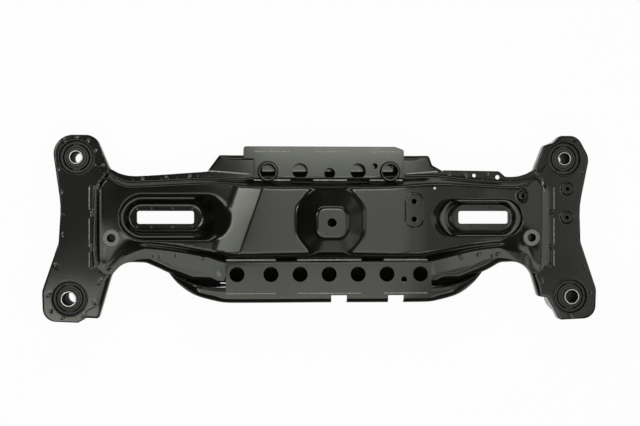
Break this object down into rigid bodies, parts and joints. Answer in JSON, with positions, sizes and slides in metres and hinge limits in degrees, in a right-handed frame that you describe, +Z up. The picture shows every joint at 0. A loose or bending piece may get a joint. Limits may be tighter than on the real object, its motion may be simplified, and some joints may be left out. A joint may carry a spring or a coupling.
{
  "type": "subframe",
  "caption": "Pressed and welded black steel subframe: a ribbed centre shell with slotted recesses, drilled bridge plates and a rubber bush at each corner.",
  "frame": {"origin": "middle of the overall length and width, on the plane that the sump and the front sleeves stand on", "axes": "+X along the part's length to the picture's right, +Y to the rear edge at the picture's top, +Z up to the camera"},
  "size_m": [0.9996, 0.3359, 0.124],
  "materials": {
    "black_paint": "satin black paint",
    "bush_can": "dulled bare steel",
    "bush_rubber": "moulded matt",
    "sleeve_steel": "turned bare steel"
  },
  "bodies": {
    "root": {"upper_shell": "black_paint", "lower_shell": "black_paint", "left_end_plate": "black_paint", "right_end_plate": "black_paint", "front_rail": "black_paint", "back_rail": "black_paint", "front_bridge_plate": "black_paint", "back_bridge_plate": "black_paint", "left_bridge_tube": "black_paint", "right_bridge_tube": "black_paint", "left_spacer": "black_paint", "right_spacer": "black_paint", "rear_left_mount_tube": "black_paint", "rear_right_mount_tube": "black_paint", "front_left_mount_tube": "black_paint", "front_right_mount_tube": "black_paint", "rear_left_bush_can": "bush_can", "rear_right_bush_can": "bush_can", "front_left_bush_can": "bush_can", "front_right_bush_can": "bush_can", "rear_left_bush_rubber": "bush_rubber", "rear_right_bush_rubber": "bush_rubber", "front_left_bush_rubber": "bush_rubber", "front_right_bush_rubber": "bush_rubber", "rear_left_sleeve": "sleeve_steel", "rear_right_sleeve": "sleeve_steel", "front_left_sleeve": "sleeve_steel", "front_right_sleeve": "sleeve_steel"}
  },
  "joints": []
}
